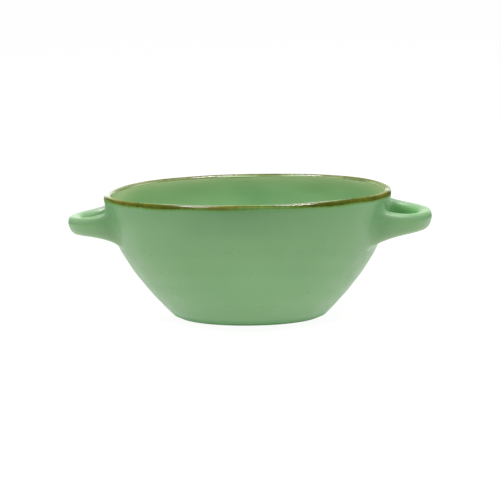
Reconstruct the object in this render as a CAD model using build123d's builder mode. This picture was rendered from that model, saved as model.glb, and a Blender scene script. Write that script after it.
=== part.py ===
"""Lug soup bowl: a hand-formed stoneware bowl with two loop lugs, a brushed rim band and a bare foot ring.

Millimetres and degrees. +Z is up, the lugs lie along X, and the origin is on the ground below the middle.
"""

import os
from math import atan2, cos, degrees, hypot, pi, radians, sin, sqrt, tan, tau

from build123d import *

# Bowl wall
RIM_DIAMETER = 150.0
BOWL_HEIGHT = 65.8  # ground to the mean level of the lip
HEEL_DIAMETER = 78.2  # where the wall would meet the plane of the underside
HEEL_RADIUS = 2.5
WALL_FULLNESS = 1.92  # 1 gives a straight cone, more makes the wall stand up sooner
WALL_THICKNESS = 3.6
FLOOR_THICKNESS = 5.5
FLOOR_RADIUS = 12.0  # inside, where the floor turns up into the wall
LIP_ROUNDING = 0.42  # radius of the lip's edges as a share of the wall's thickness

# Unevenness of the hand-formed lip, which fades out towards the heel
RIM_TILT = 0.75  # degrees, the right side higher
RIM_SADDLE = 0.6  # the lip dips by this at the lugs, and rises by it between them
RIM_OVAL = 0.55
RIM_OVAL_ANGLE = 92.0
RIM_LOBE = 0.75
RIM_LOBE_ANGLE = 62.0

# Rim band
BAND_DEPTH = 2.8
BAND_THICKNESS = 0.5

# Lugs
LUG_REACH = 19.5  # from the rim's edge to the lug's tip
LUG_WIDTH = 55.0
RIGHT_LUG_DROP = 16.0  # from the lip down to the middle of the strap
LEFT_LUG_DROP = 15.5
LUG_THICKNESS = 6.7
LUG_TIP_HEIGHT = 10.4
LUG_ROOT_HEIGHT = 19.5
LUG_ROOT_THICKNESS = 9.0
LUG_ROUNDING = 0.42  # radius of the strap's edges as a share of its thickness
LUG_LEAN = 17.0  # degrees that the tip leans outwards
RIGHT_LUG_DROOP = 0.0  # degrees that the tip hangs down from the rim's line
LEFT_LUG_DROOP = 3.5
LUG_TWIST = 1.45  # degrees that each loop is turned out of level, about the line to its tip
LUG_FLARE = 4.5  # how late along the strap the root widens
LUG_ROOT_TURN = 95.0  # degrees from the tip to where the strap has its root size
LUG_SWEEP = 115.0  # degrees from the tip to each end, which is inside the wall before it is cut

# Foot ring
FOOT_RING_INSET = 2.3
FOOT_RING_WIDTH = 5.5
FOOT_RING_HEIGHT = 1.0
FOOT_RING_EDGE = 0.4
UNDERSIDE_RECESS = 1.2

# Fineness of the modelled surfaces
WALL_LEVELS = 5
RING_POINTS = 12
LUG_STEPS = 6

# Sizes that follow from those above
RIM_RADIUS = RIM_DIAMETER / 2
RIM_RISE = RIM_RADIUS * tan(radians(RIM_TILT)) + RIM_SADDLE
FORM_TOP = BOWL_HEIGHT + RIM_RISE + BAND_DEPTH
LIP_RADIUS = LIP_ROUNDING * WALL_THICKNESS
CLAY_LIP_BOTTOM = BOWL_HEIGHT - RIM_RISE - 2 * BAND_DEPTH
HEEL_HALF = HEEL_DIAMETER / 2
FLOOR_LEVEL = FOOT_RING_HEIGHT + FLOOR_THICKNESS
FOOT_RING_OUTSIDE = HEEL_HALF - FOOT_RING_INSET
FOOT_RING_INSIDE = FOOT_RING_OUTSIDE - FOOT_RING_WIDTH


def wall_share(height):
    """How far up the wall a height lies, from 0 at the underside to 1 at the lip and above it."""
    return min((height - FOOT_RING_HEIGHT) / (BOWL_HEIGHT - FOOT_RING_HEIGHT), 1.0)


def wall_radius(height):
    """Mean outside radius of the wall at a height."""
    return RIM_RADIUS - (RIM_RADIUS - HEEL_HALF) * (1 - wall_share(height)) ** WALL_FULLNESS


def wall_slope(height):
    """Outward run of the wall for each unit that it rises, at a height."""
    run = WALL_FULLNESS * (RIM_RADIUS - HEEL_HALF) / (BOWL_HEIGHT - FOOT_RING_HEIGHT)
    return run * (1 - wall_share(height)) ** (WALL_FULLNESS - 1)


def ring_points(height, inset):
    """Points round one level of the wall, inset square to its surface, starting at the back."""
    radius = wall_radius(height) - inset * hypot(1, wall_slope(height))
    points = []
    for step in range(RING_POINTS):
        angle = pi / 2 + tau * step / RING_POINTS
        oval = RIM_OVAL * cos(2 * (angle - radians(RIM_OVAL_ANGLE)))
        lobe = RIM_LOBE * cos(3 * (angle - radians(RIM_LOBE_ANGLE)))
        uneven = radius + wall_share(height) * (oval + lobe)
        points.append((uneven * cos(angle), uneven * sin(angle)))
    return points


def wall_form(inset, bottom):
    """The filled form inside the wall's outer surface, moved in by inset, from bottom to above the lip."""
    rise = (BOWL_HEIGHT - bottom) / WALL_LEVELS
    heights = [bottom + level * rise for level in range(WALL_LEVELS + 1)]
    with BuildPart() as form:
        for height in [*heights, FORM_TOP]:
            with BuildSketch(Plane.XY.offset(height)):
                with BuildLine():
                    Spline(*ring_points(height, inset), periodic=True)
                make_face()
        loft()
    return form.part


def space_above_lip(drop):
    """Everything above the tilted, saddle-shaped surface that lies drop below the lip."""
    reach = RIM_DIAMETER
    tilt = reach * tan(radians(RIM_TILT))
    saddle = RIM_SADDLE * (reach / RIM_RADIUS) ** 2
    level = BOWL_HEIGHT - drop
    # Control heights of a quadratic patch: along X it leans and both ends dip, along Y both ends rise
    along_x = [(-reach, -tilt - saddle), (0, saddle), (reach, tilt - saddle)]
    along_y = [(-reach, saddle), (0, -saddle), (reach, saddle)]
    surface = Face.make_bezier_surface([[(x, y, level + a + b) for y, b in along_y] for x, a in along_x])
    with BuildPart() as space:
        extrude(surface, amount=BOWL_HEIGHT, dir=(0, 0, 1))
    return space.part


outside_form = wall_form(0, FOOT_RING_HEIGHT)
cavity_form = wall_form(WALL_THICKNESS, FLOOR_LEVEL)
space_above_rim = space_above_lip(0)
space_above_band_line = space_above_lip(BAND_DEPTH)

# The hollow that the bowl holds, with its rounded floor
with BuildPart() as hollow:
    add(cavity_form)
    fillet(hollow.faces().sort_by(Axis.Z)[0].edges(), FLOOR_RADIUS)

# The wall, heel and floor, before the lip is shaped
with BuildPart() as bowl_blank:
    add(outside_form)
    fillet(bowl_blank.faces().sort_by(Axis.Z)[0].edges(), HEEL_RADIUS)
    add(hollow.part, mode=Mode.SUBTRACT)

# The clay lip that the band covers, as a ring that starts inside the wall below the band
lip_outside_form = wall_form(BAND_THICKNESS, CLAY_LIP_BOTTOM)
lip_inside_form = wall_form(WALL_THICKNESS - BAND_THICKNESS, CLAY_LIP_BOTTOM)
space_above_clay_lip = space_above_lip(BAND_THICKNESS)
with BuildPart() as clay_lip:
    add(lip_outside_form)
    add(lip_inside_form, mode=Mode.SUBTRACT)
    add(space_above_clay_lip, mode=Mode.SUBTRACT)
    fillet(clay_lip.faces().sort_by(Axis.Z)[-1].edges(), LIP_RADIUS - BAND_THICKNESS)

with BuildPart() as bowl_body:
    add(bowl_blank.part)
    add(space_above_band_line, mode=Mode.SUBTRACT)
    add(clay_lip.part)
    with BuildSketch(Plane.XY.offset(FOOT_RING_HEIGHT)):
        Circle(FOOT_RING_INSIDE)
    extrude(amount=UNDERSIDE_RECESS, mode=Mode.SUBTRACT)
bowl_body.part.label = "bowl_body"

with BuildPart() as rim_band:
    add(bowl_blank.part)
    add(space_above_rim, mode=Mode.SUBTRACT)
    fillet(rim_band.faces().sort_by(Axis.Z)[-1].edges(), LIP_RADIUS)
    add(space_above_band_line, mode=Mode.INTERSECT)
    add(clay_lip.part, mode=Mode.SUBTRACT)
rim_band.part.label = "rim_band"

with BuildPart() as foot_ring:
    with BuildSketch():
        Circle(FOOT_RING_OUTSIDE)
        Circle(FOOT_RING_INSIDE, mode=Mode.SUBTRACT)
    extrude(amount=FOOT_RING_HEIGHT)
    fillet(foot_ring.faces().sort_by(Axis.Z)[0].edges(), FOOT_RING_EDGE)
foot_ring.part.label = "foot_ring"


def lug_section_plane(side, drop, droop, turn):
    """The plane of the strap's section at a turn from the tip: its X points out of the loop, its Y up."""
    level = BOWL_HEIGHT - drop
    tilt = radians(RIM_TILT)
    along_rim = (side * cos(tilt), 0, side * sin(tilt))
    rim_frame = Plane((0, 0, level), x_dir=along_rim, z_dir=(-sin(tilt), 0, cos(tilt)))
    lug_frame = rim_frame * Pos(X=RIM_RADIUS) * Rot(Y=droop) * Pos(X=-RIM_RADIUS) * Rot(X=LUG_TWIST)
    # The loop is an oval, and where it is widest the middle of the strap meets the wall
    half_width = (LUG_WIDTH - LUG_THICKNESS) / 2
    centre = sqrt(wall_radius(level) ** 2 - half_width**2)
    half_length = RIM_RADIUS + LUG_REACH - LUG_THICKNESS / 2 - centre
    across = cos(radians(turn))
    beside = sin(radians(turn))
    place = Pos(centre + half_length * across, half_width * beside)
    facing = Rot(Z=degrees(atan2(half_length * beside, half_width * across)))
    return lug_frame * place * facing * Rot(X=90) * Rot(Z=-LUG_LEAN * across)


def lug_loop(side, drop, droop):
    """The strap of one lug, swept round its loop and cut to fit the wall. Side is 1 right, -1 left."""
    with BuildPart() as loop:
        for step in range(-LUG_STEPS, LUG_STEPS + 1):
            turn = LUG_SWEEP * step / LUG_STEPS
            flare = min(abs(turn) / LUG_ROOT_TURN, 1) ** LUG_FLARE
            thickness = LUG_THICKNESS + (LUG_ROOT_THICKNESS - LUG_THICKNESS) * flare
            height = LUG_TIP_HEIGHT + (LUG_ROOT_HEIGHT - LUG_TIP_HEIGHT) * flare
            with BuildSketch(lug_section_plane(side, drop, droop, turn)):
                RectangleRounded(thickness, height, LUG_ROUNDING * thickness)
        loft()
        add(outside_form, mode=Mode.SUBTRACT)
    return loop.part


right_lug = lug_loop(1, RIGHT_LUG_DROP, RIGHT_LUG_DROOP)
right_lug.label = "right_lug"
left_lug = lug_loop(-1, LEFT_LUG_DROP, LEFT_LUG_DROOP)
left_lug.label = "left_lug"

os.makedirs("parts", exist_ok=True)
for piece in (bowl_body.part, rim_band.part, foot_ring.part, right_lug, left_lug):
    export_step(piece, f"parts/{piece.label}.step")
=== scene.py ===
"""Looks of a lug soup bowl: satin green glaze on hand-formed clay, a brushed brown rim and a bare foot ring.

Metres and degrees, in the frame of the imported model: +Z is up, the lugs lie along X, the ground is at z = 0.
"""

import logging
from collections.abc import Callable
from dataclasses import dataclass, field
from enum import Enum
from math import atan, cos, hypot, pi, radians, sin, sqrt, tan, tau
from typing import Any

import bmesh
import bpy
import numpy as np
from mathutils import Matrix, Vector
from numpy.typing import NDArray


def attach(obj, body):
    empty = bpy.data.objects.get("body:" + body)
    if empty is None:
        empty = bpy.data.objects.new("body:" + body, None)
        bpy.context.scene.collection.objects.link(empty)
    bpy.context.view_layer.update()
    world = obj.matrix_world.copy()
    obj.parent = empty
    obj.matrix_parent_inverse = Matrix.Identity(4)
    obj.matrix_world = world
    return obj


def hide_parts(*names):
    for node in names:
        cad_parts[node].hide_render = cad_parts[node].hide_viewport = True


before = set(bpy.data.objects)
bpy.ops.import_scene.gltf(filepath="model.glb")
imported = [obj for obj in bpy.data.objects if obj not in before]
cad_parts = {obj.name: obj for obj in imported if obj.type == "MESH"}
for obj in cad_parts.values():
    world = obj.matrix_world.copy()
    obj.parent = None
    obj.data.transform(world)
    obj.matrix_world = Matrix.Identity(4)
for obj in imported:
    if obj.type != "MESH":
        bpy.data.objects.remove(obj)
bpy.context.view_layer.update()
LOG = logging.getLogger("lug_soup_bowl")

Grid = NDArray[np.float64]
Value = Grid | float
Span = tuple[float, float]
Triple = tuple[float, float, float]
Colour = tuple[float, float, float, float]
Socket = bpy.types.NodeSocket
Material = bpy.types.Material
Piece = bpy.types.Object

EVEN: Triple = (1.0, 1.0, 1.0)
RUNNING: Triple = (1.0, 1.0, 0.35)
WHITE: Colour = (1.0, 1.0, 1.0, 1.0)
NOISE_MEAN = 0.5
GLAZE_IOR = 1.5


class Node(str, Enum):
    """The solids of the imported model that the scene's pieces stand for."""

    BOWL_BODY = "bowl_body"
    RIM_BAND = "rim_band"
    LEFT_LUG = "left_lug"
    RIGHT_LUG = "right_lug"
    FOOT_RING = "foot_ring"


class Slot(str, Enum):
    """The record's material slots."""

    GREEN_GLAZE = "green_glaze"
    BROWN_RIM = "brown_rim"
    BARE_CLAY = "bare_clay"


class Mask(str, Enum):
    """Values that a mesh carries from point to point for its glaze, and for the light and shade painted on it.
    """

    # Darker glaze where it pools, together with painted shade at the lug roots, under the rim, at the heel, in
    # the lugs' creases and inside the bowl.
    POOL_AND_SHADE = "glaze_pool_and_painted_shade"
    # Paler glaze where it thins, together with painted light: inside below the lip, a painted reflection at
    # the rim's ends, floor light under the lugs and a highlight on the rim's crest.
    THIN_AND_LIT = "glaze_thin_and_painted_light"
    # Painted sheen: a whitish reflection painted over the lugs' upper edges and undersides.
    PAINTED_SHEEN = "glaze_painted_sheen"
    # Painted shade inside the lugs' loops: a deeper, more saturated green.
    LOOP_SHADE = "glaze_painted_loop_shade"
    BROWN = "brown_coat"
    TAN = "tan_coat"
    GLAZED = "glazed_flank"
    GLOSS = "coat_gloss"


class Side(Enum):
    """The side of the bowl that a lug is on, as the sign of its X."""

    RIGHT = 1
    LEFT = -1


Masks = dict[Mask, Value]
PLAIN: Masks = {Mask.POOL_AND_SHADE: 0.0, Mask.THIN_AND_LIT: 0.0}


def full_turn(steps: int) -> Grid:
    """Gives evenly spaced directions all the way round, in radians."""
    return np.arange(steps) * tau / steps


def bump(angle: Grid, centre: float, breadth: float) -> Grid:
    """Gives a smooth rise to 1 about a centre, which spreads by a breadth to each side, both in degrees."""
    apart = np.angle(np.exp(1j * (angle - radians(centre))))
    return np.exp(-0.5 * (apart / radians(breadth)) ** 2)


def ease(low: Value, high: Value, value: Value) -> Grid:
    """Gives a smooth step from 0 for values up to low to 1 for values from high."""
    share = np.clip((value - low) / (high - low), 0.0, 1.0)
    return share * share * (3 - 2 * share)


def faded(value: Grid, rise: Span, fall: Span, level: Grid) -> Grid:
    """Lets a value fade in over one span of levels and out again over another."""
    return value * ease(*rise, level) * (1 - ease(*fall, level))


def turned(angle: Grid, radius: Value, level: Value) -> Grid:
    """Gives a ring of points at a radius and a level for each direction round the bowl, one to a row."""
    height = np.broadcast_to(level, len(angle))
    return np.column_stack((radius * np.cos(angle), radius * np.sin(angle), height))


@dataclass(frozen=True)
class Press:
    """A soft hollow that a hand left in the wall."""

    angle: float
    level: float
    breadth: float
    tallness: float
    depth: float


@dataclass(frozen=True)
class Waver:
    """A place round the rim or a strap that departs from the mean by an amount."""

    angle: float
    breadth: float
    amount: float

    def at(self, angle: Grid) -> Grid:
        """What the place gives in each direction."""
        return self.amount * bump(angle, self.angle, self.breadth)


def total(places: tuple[Waver, ...], angle: Grid) -> Grid:
    """Adds up what several places give in each direction."""
    return sum(place.at(angle) for place in places)


@dataclass(frozen=True)
class Ripple:
    """Gentle waves of several orders round the bowl, whose phases are drawn from a seed."""

    orders: tuple[int, ...]
    seed: int

    def at(self, angle: Grid) -> Grid:
        """Adds up the waves.

        Args:
            angle: Directions round the bowl, in radians.

        Returns:
            The sum in each direction, within -1 and 1.
        """
        count = len(self.orders)
        phases = np.random.default_rng(self.seed).uniform(0.0, tau, count)
        return sum(np.cos(order * angle + phase) for order, phase in zip(self.orders, phases)) / count


@dataclass(frozen=True)
class Corner:
    """A rounding between a level plane and the wall above it, seen in section."""

    centre_radius: float
    centre_level: float
    radius: float
    wall_level: float
    wall_direction: float

    def point(self, direction: float) -> Span:
        """Gives the radius and the level of the rounding's point in a direction from its centre."""
        across, up = self.radius * cos(direction), self.radius * sin(direction)
        return self.centre_radius + across, self.centre_level + up


@dataclass(frozen=True)
class BowlForm:
    """The hand-formed clay form that every piece is fitted to."""

    rim_radius: float = 0.0750
    height: float = 0.0658
    heel: float = 0.0391
    underside: float = 0.0010
    fullness: float = 1.92
    wall: float = 0.0036
    floor: float = 0.0065
    lip_radius: float = 0.00150
    tilt: float = 0.75
    saddle: float = 0.0006
    oval: float = 0.00055
    oval_angle: float = 92.0
    lobe: float = 0.00075
    lobe_angle: float = 62.0
    shrink: float = 0.00012
    ring_pitch: float = 0.0105
    ring_depth: float = 0.00012
    ring_sway: float = 1.5
    hollows_from: Span = (0.002, 0.010)
    hollows_to: Span = (0.058, 0.063)
    fingers: Ripple = Ripple((5, 8, 13), 11)
    finger_depth: float = 0.00027
    fingers_from: Span = (0.016, 0.030)
    fingers_to: Span = (0.056, 0.062)
    steps_corner: int = 400
    presses: tuple[Press, ...] = (
        Press(-128.0, 0.047, 11.0, 0.011, 0.00055),
        Press(-97.0, 0.036, 12.0, 0.010, 0.00060),
        Press(-64.0, 0.050, 10.0, 0.010, 0.00050),
        Press(-45.0, 0.029, 13.0, 0.009, 0.00055),
        Press(-140.0, 0.024, 13.0, 0.008, 0.00045),
        Press(-84.0, 0.018, 15.0, 0.007, 0.00045),
        Press(38.0, 0.045, 12.0, 0.011, 0.00055),
        Press(72.0, 0.030, 13.0, 0.010, 0.00060),
        Press(104.0, 0.049, 11.0, 0.010, 0.00050),
        Press(133.0, 0.033, 13.0, 0.010, 0.00055),
    )
    lip_wavers: tuple[Waver, ...] = (
        Waver(-132.0, 14.0, 0.00010),
        Waver(-104.0, 9.0, -0.00030),
        Waver(-75.0, 7.0, -0.00035),
        Waver(-42.0, 9.0, 0.00018),
        Waver(36.0, 14.0, 0.00022),
        Waver(84.0, 13.0, -0.00035),
        Waver(140.0, 15.0, 0.00055),
    )

    def share(self, level: Value) -> Grid:
        """How far up the wall a level lies, from 0 at the underside to 1 at the lip."""
        return np.clip((level - self.underside) / (self.height - self.underside), 0.0, 1.0)

    def slope(self, level: Value) -> Grid:
        """Outward run of the wall for each unit that it rises."""
        run = self.fullness * (self.rim_radius - self.heel) / (self.height - self.underside)
        return run * (1 - self.share(level)) ** (self.fullness - 1)

    def mean_radius(self, level: Value, inset: float) -> Grid:
        """Mean radius of the wall's outside at a level, moved in square to the surface by an inset."""
        spread = (self.rim_radius - self.heel) * (1 - self.share(level)) ** self.fullness
        return self.rim_radius - spread - inset * np.hypot(1.0, self.slope(level))

    def uneven(self, angle: Grid, level: Value) -> Grid:
        """How far the hand-formed wall lies outside its mean circle."""
        oval = self.oval * np.cos(2 * (angle - radians(self.oval_angle)))
        return self.share(level) * (oval + self.lobe * np.cos(3 * (angle - radians(self.lobe_angle))))

    def hollows(self, angle: Grid, level: Grid) -> Grid:
        """Finds the depth of the hand's presses and of the faint throwing rings, which fade at heel and lip.

        Args:
            angle: Directions round the bowl, in radians.
            level: Heights above the ground.

        Returns:
            How far the surface lies inside the smooth wall.
        """
        ring = np.cos(tau * level / self.ring_pitch + self.ring_sway * np.cos(2 * angle))
        depth = self.ring_depth * (0.5 + 0.5 * ring)
        for press in self.presses:
            tall = np.exp(-0.5 * ((level - press.level) / press.tallness) ** 2)
            depth = depth + press.depth * tall * bump(angle, press.angle, press.breadth)
        return faded(depth, self.hollows_from, self.hollows_to, level)

    def outside(self, angle: Grid, level: Grid) -> Grid:
        """Radius of the outer surface."""
        smooth = self.mean_radius(level, 0.0) + self.uneven(angle, level)
        return smooth - self.shrink * self.share(level) ** 4 - self.hollows(angle, level)

    def inside(self, angle: Grid, level: Grid) -> Grid:
        """Radius of the inner surface, with the soft upright bands that the fingers drew."""
        bands = faded(self.finger_depth * self.fingers.at(angle), self.fingers_from, self.fingers_to, level)
        return self.mean_radius(level, self.wall) + self.uneven(angle, level) + bands

    def lip(self, angle: Grid) -> Grid:
        """Height of the lip, which leans to the left, sags at the lugs and wavers."""
        leant = self.height + self.rim_radius * np.cos(angle) * tan(radians(self.tilt))
        return leant - self.saddle * np.cos(2 * angle) - self.shrink + total(self.lip_wavers, angle)

    def gap(self, points: Grid) -> Grid:
        """How far points, with x, y and z on the last axis, lie outside the wall, square to it."""
        x, y, level = np.moveaxis(points, -1, 0)
        return (np.hypot(x, y) - self.outside(np.arctan2(y, x), level)) / np.hypot(1.0, self.slope(level))

    def facing(self, points: Grid) -> Grid:
        """Finds the way that the wall faces next to points.

        Args:
            points: Places, with x, y and z on the last axis.

        Returns:
            Directions of length 1, laid out as the places are.
        """
        x, y, level = np.moveaxis(points, -1, 0)
        angle, slope = np.arctan2(y, x), self.slope(level)
        normal = np.stack((np.cos(angle), np.sin(angle), -slope), axis=-1)
        return normal / np.hypot(1.0, slope)[..., None]

    def corner(self, level: float, inset: float, radius: float) -> Corner:
        """Finds the rounding that touches a level plane and the wall above it.

        Args:
            level: Height of the plane.
            inset: How far the rounded surface lies inside the wall's outer surface.
            radius: Radius of the rounding.

        Returns:
            The rounding's circle, and where it runs into the wall.
        """
        heights = np.linspace(level, level + radius, self.steps_corner)
        radii = self.mean_radius(heights, inset)
        slopes = np.gradient(radii, heights)
        centres = heights + radius * slopes / np.hypot(1.0, slopes)
        touch = float(np.interp(level + radius, centres, heights))
        slope = float(np.interp(touch, heights, slopes))
        across = float(np.interp(touch, heights, radii)) - radius / hypot(1.0, slope)
        return Corner(across, level + radius, radius, touch, -atan(slope))


@dataclass
class Skin:
    """A closed surface in the making: rings of points that are joined one to the next."""

    rings: list[Grid] = field(default_factory=list)
    masks: dict[Mask, list[Grid]] = field(default_factory=dict)

    def add(self, ring: Grid, values: Masks) -> None:
        """Adds one ring.

        Args:
            ring: Points of the ring, one to a row.
            values: For each mask, its value all over the ring or at each of its points.
        """
        self.rings.append(ring)
        for mask, value in values.items():
            self.masks.setdefault(mask, []).append(np.broadcast_to(value, len(ring)).astype(float))

    def piece(self, name: str, looped: bool) -> Piece:
        """Makes the object.

        Args:
            name: Name of the object.
            looped: Whether the last ring joins the first. If not, both ends are closed by a fan.

        Returns:
            The new object, smooth shaded, with a value of each mask on every point.
        """
        count = len(self.rings[0])
        rows = len(self.rings)
        points = [*self.rings]
        values = {mask: [*parts] for mask, parts in self.masks.items()}
        here = np.arange(count)
        beside = np.roll(here, -1)
        faces: list[list[int]] = []
        for row in range(rows if looped else rows - 1):
            low = row * count
            high = (row + 1) % rows * count
            faces += np.column_stack((low + here, low + beside, high + beside, high + here)).tolist()
        if not looped:
            for number, row in enumerate((0, rows - 1)):
                points.append(self.rings[row].mean(axis=0, keepdims=True))
                for mask, parts in self.masks.items():
                    values[mask].append(parts[row].mean(keepdims=True))
                tip = np.full(count, rows * count + number)
                faces += np.column_stack((row * count + here, row * count + beside, tip)).tolist()
        mesh = bpy.data.meshes.new(name)
        mesh.from_pydata(np.concatenate(points).tolist(), [], faces)
        for mask, parts in values.items():
            mesh.attributes.new(mask.value, "FLOAT", "POINT").data.foreach_set("value", np.concatenate(parts))
        shell = bmesh.new()
        shell.from_mesh(mesh)
        bmesh.ops.recalc_face_normals(shell, faces=shell.faces)
        shell.to_mesh(mesh)
        shell.free()
        mesh.shade_smooth()
        piece = bpy.data.objects.new(name, mesh)
        bpy.context.scene.collection.objects.link(piece)
        return piece


@dataclass(frozen=True)
class Mottle:
    """Smooth noise over a finish: what lies between low and high is taken to start and end."""

    scale: float
    detail: float
    low: float
    high: float
    start: float = 0.0
    end: float = 1.0
    stretch: Triple = EVEN


@dataclass(frozen=True)
class Relief:
    """Smooth noise that raises a finish by up to a depth."""

    scale: float
    detail: float
    depth: float


class Bench:
    """The node tree of one material, with short ways to add nodes and join them."""

    def __init__(self, name: str) -> None:
        """Starts a material with its shader.

        Args:
            name: Name of the material.
        """
        self.material = bpy.data.materials.new(name)
        self.material.use_nodes = True
        self.tree = self.material.node_tree
        self.shader = self.tree.nodes["Principled BSDF"]

    def feed(self, socket: Socket, value: Any) -> None:
        """Joins a socket to another one, or sets its value.

        Args:
            socket: The socket to feed.
            value: Another socket, or a plain value.
        """
        if isinstance(value, Socket):
            self.tree.links.new(value, socket)
        else:
            socket.default_value = value

    def add(self, kind: str, sockets: dict[str, Any], **settings: Any) -> bpy.types.Node:
        """Adds a node.

        Args:
            kind: Type of the node.
            sockets: For each input, its value or the socket that feeds it.
            settings: The node's own settings.

        Returns:
            The new node.
        """
        node = self.tree.nodes.new(kind)
        for name, value in settings.items():
            setattr(node, name, value)
        for name, value in sockets.items():
            self.feed(node.inputs[name], value)
        return node

    def place(self, stretch: Triple) -> Socket:
        """The place on the object, in metres, multiplied along each axis."""
        spot = self.add("ShaderNodeTexCoord", {}).outputs["Object"]
        return self.add("ShaderNodeMapping", {"Vector": spot, "Scale": stretch}).outputs["Vector"]

    def noise(self, scale: float, detail: float, stretch: Triple = EVEN) -> Socket:
        """Smooth noise that turns about its scale times in each metre, from 0 to 1."""
        sockets = {"Vector": self.place(stretch), "Scale": scale, "Detail": detail}
        return self.add("ShaderNodeTexNoise", sockets).outputs["Fac"]

    def spread(self, value: Any, low: float, high: float, start: float = 0.0, end: float = 1.0) -> Socket:
        """Takes values between low and high smoothly to start and end."""
        sockets = {"Value": value, "From Min": low, "From Max": high, "To Min": start, "To Max": end}
        return self.add("ShaderNodeMapRange", sockets, interpolation_type="SMOOTHSTEP").outputs["Result"]

    def mottle(self, mottle: Mottle) -> Socket:
        """Lays a mottle over the surface."""
        noise = self.noise(mottle.scale, mottle.detail, mottle.stretch)
        return self.spread(noise, mottle.low, mottle.high, mottle.start, mottle.end)

    def reckon(self, first: Any, second: Any, operation: str) -> Socket:
        """Works out one sum of two values.

        Args:
            first: A value, or the socket that gives it.
            second: The other value, or its socket.
            operation: What is done with the two.

        Returns:
            The socket that gives the result.
        """
        node = self.add("ShaderNodeMath", {}, operation=operation)
        self.feed(node.inputs[0], first)
        self.feed(node.inputs[1], second)
        return node.outputs[0]

    def blend(self, share: Any, first: Any, second: Any) -> Socket:
        """Goes from a first colour to a second as the share goes from 0 to 1.

        Args:
            share: How much of the second colour there is, or the socket that says so.
            first: A colour, or its socket.
            second: The other colour, or its socket.

        Returns:
            The socket that gives the blended colour.
        """
        node = self.add("ShaderNodeMix", {}, data_type="RGBA")
        for socket, value in zip((node.inputs[0], node.inputs[6], node.inputs[7]), (share, first, second)):
            self.feed(socket, value)
        return node.outputs[2]

    def mask(self, mask: Mask) -> Socket:
        """The value of a mask at each point of the mesh."""
        return self.add("ShaderNodeAttribute", {}, attribute_name=mask.value).outputs["Fac"]

    def relief(self, *layers: Relief) -> None:
        """Raises fine relief on the shader.

        Args:
            layers: The layers, from the lowest up.
        """
        normal = None
        for layer in layers:
            height = self.noise(layer.scale, layer.detail)
            node = self.add("ShaderNodeBump", {"Height": height, "Strength": 1.0, "Distance": layer.depth})
            if normal is not None:
                self.feed(node.inputs["Normal"], normal)
            normal = node.outputs["Normal"]
        self.feed(self.shader.inputs["Normal"], normal)

    def dress(self, sockets: dict[str, Any]) -> Material:
        """Sets the shader's sockets.

        Args:
            sockets: For each of the shader's inputs, its value or the socket that feeds it.

        Returns:
            The finished material.
        """
        for name, value in sockets.items():
            self.feed(self.shader.inputs[name], value)
        return self.material


@dataclass(frozen=True)
class GreenGlaze:
    """Satin green glaze: mottled, darker where it pools and where shade is painted, paler where it thins and
    where light is painted, with a painted sheen over the lugs' edges and painted shade inside their loops.
    """

    main: Colour = (0.193, 0.392, 0.157, 1.0)
    cool: Colour = (0.185, 0.380, 0.156, 1.0)
    pale: Colour = (0.203, 0.400, 0.169, 1.0)
    # Dark green for glaze that pools and for painted shade.
    pooled_and_shaded: Colour = (0.085, 0.260, 0.085, 1.0)
    # Pale green for thin glaze and for painted light.
    thinned_and_lit: Colour = (0.450, 0.560, 0.300, 1.0)
    # Whitish colour of the painted sheen.
    painted_sheen: Colour = (0.430, 0.460, 0.420, 1.0)
    # Deep green of the painted shade inside the lugs' loops.
    loop_shade: Colour = (0.145, 0.440, 0.130, 1.0)
    speck: Colour = (0.060, 0.045, 0.020, 1.0)
    clouds: Mottle = Mottle(38.0, 2.0, 0.38, 0.62)
    runs: Mottle = Mottle(60.0, 2.0, 0.45, 0.75, end=0.6, stretch=RUNNING)
    pool_and_shade_share: float = 0.85
    speck_scale: float = 45.0
    speck_edge: Span = (0.010, 0.020)
    speck_choice: Span = (0.965, 0.985)
    speck_share: float = 0.7
    roughness: Mottle = Mottle(140.0, 3.0, 0.3, 0.7, 0.27, 0.39)
    pool_roughness: float = 0.35
    swell: Relief = Relief(42.0, 1.0, 0.0005)
    peel: Relief = Relief(420.0, 2.0, 0.000004)

    def colour(self, bench: Bench) -> Socket:
        """Builds the glaze's colour.

        Args:
            bench: The material that the colour is for.

        Returns:
            The socket that gives the colour.
        """
        colour = bench.blend(bench.mottle(self.clouds), self.cool, self.main)
        colour = bench.blend(bench.mottle(self.runs), colour, self.pale)
        # Darkens where glaze pools and where shade is painted, then tints with painted light, painted sheen
        # and painted shade in the loops.
        pooling_and_shade = bench.reckon(bench.mask(Mask.POOL_AND_SHADE), self.pool_and_shade_share, "MULTIPLY")
        colour = bench.blend(pooling_and_shade, colour, self.pooled_and_shaded)
        for mask, tint in ((Mask.THIN_AND_LIT, self.thinned_and_lit), (Mask.PAINTED_SHEEN, self.painted_sheen), (Mask.LOOP_SHADE, self.loop_shade)):
            colour = bench.blend(bench.mask(mask), colour, tint)
        spots = bench.add("ShaderNodeTexVoronoi", {"Vector": bench.place(EVEN), "Scale": self.speck_scale})
        rare = bench.add("ShaderNodeSeparateColor", {"Color": spots.outputs["Color"]}).outputs["Red"]
        near = bench.spread(spots.outputs["Distance"], *self.speck_edge, 1.0, 0.0)
        chosen = bench.spread(rare, *self.speck_choice, end=self.speck_share)
        return bench.blend(bench.reckon(near, chosen, "MULTIPLY"), colour, self.speck)

    def material(self) -> Material:
        """Builds the glaze.

        Returns:
            The material, which reads the masks of glaze that pools and painted shade, thin glaze and painted
            light, painted sheen, and painted shade inside the loops.
        """
        bench = Bench("green_glaze")
        dull = bench.reckon(bench.mask(Mask.POOL_AND_SHADE), self.pool_roughness, "MULTIPLY")
        rough = bench.reckon(dull, bench.mottle(self.roughness), "ADD")
        bench.relief(self.swell, self.peel)
        return bench.dress({"Base Color": self.colour(bench), "Roughness": rough, "IOR": GLAZE_IOR})


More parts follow.
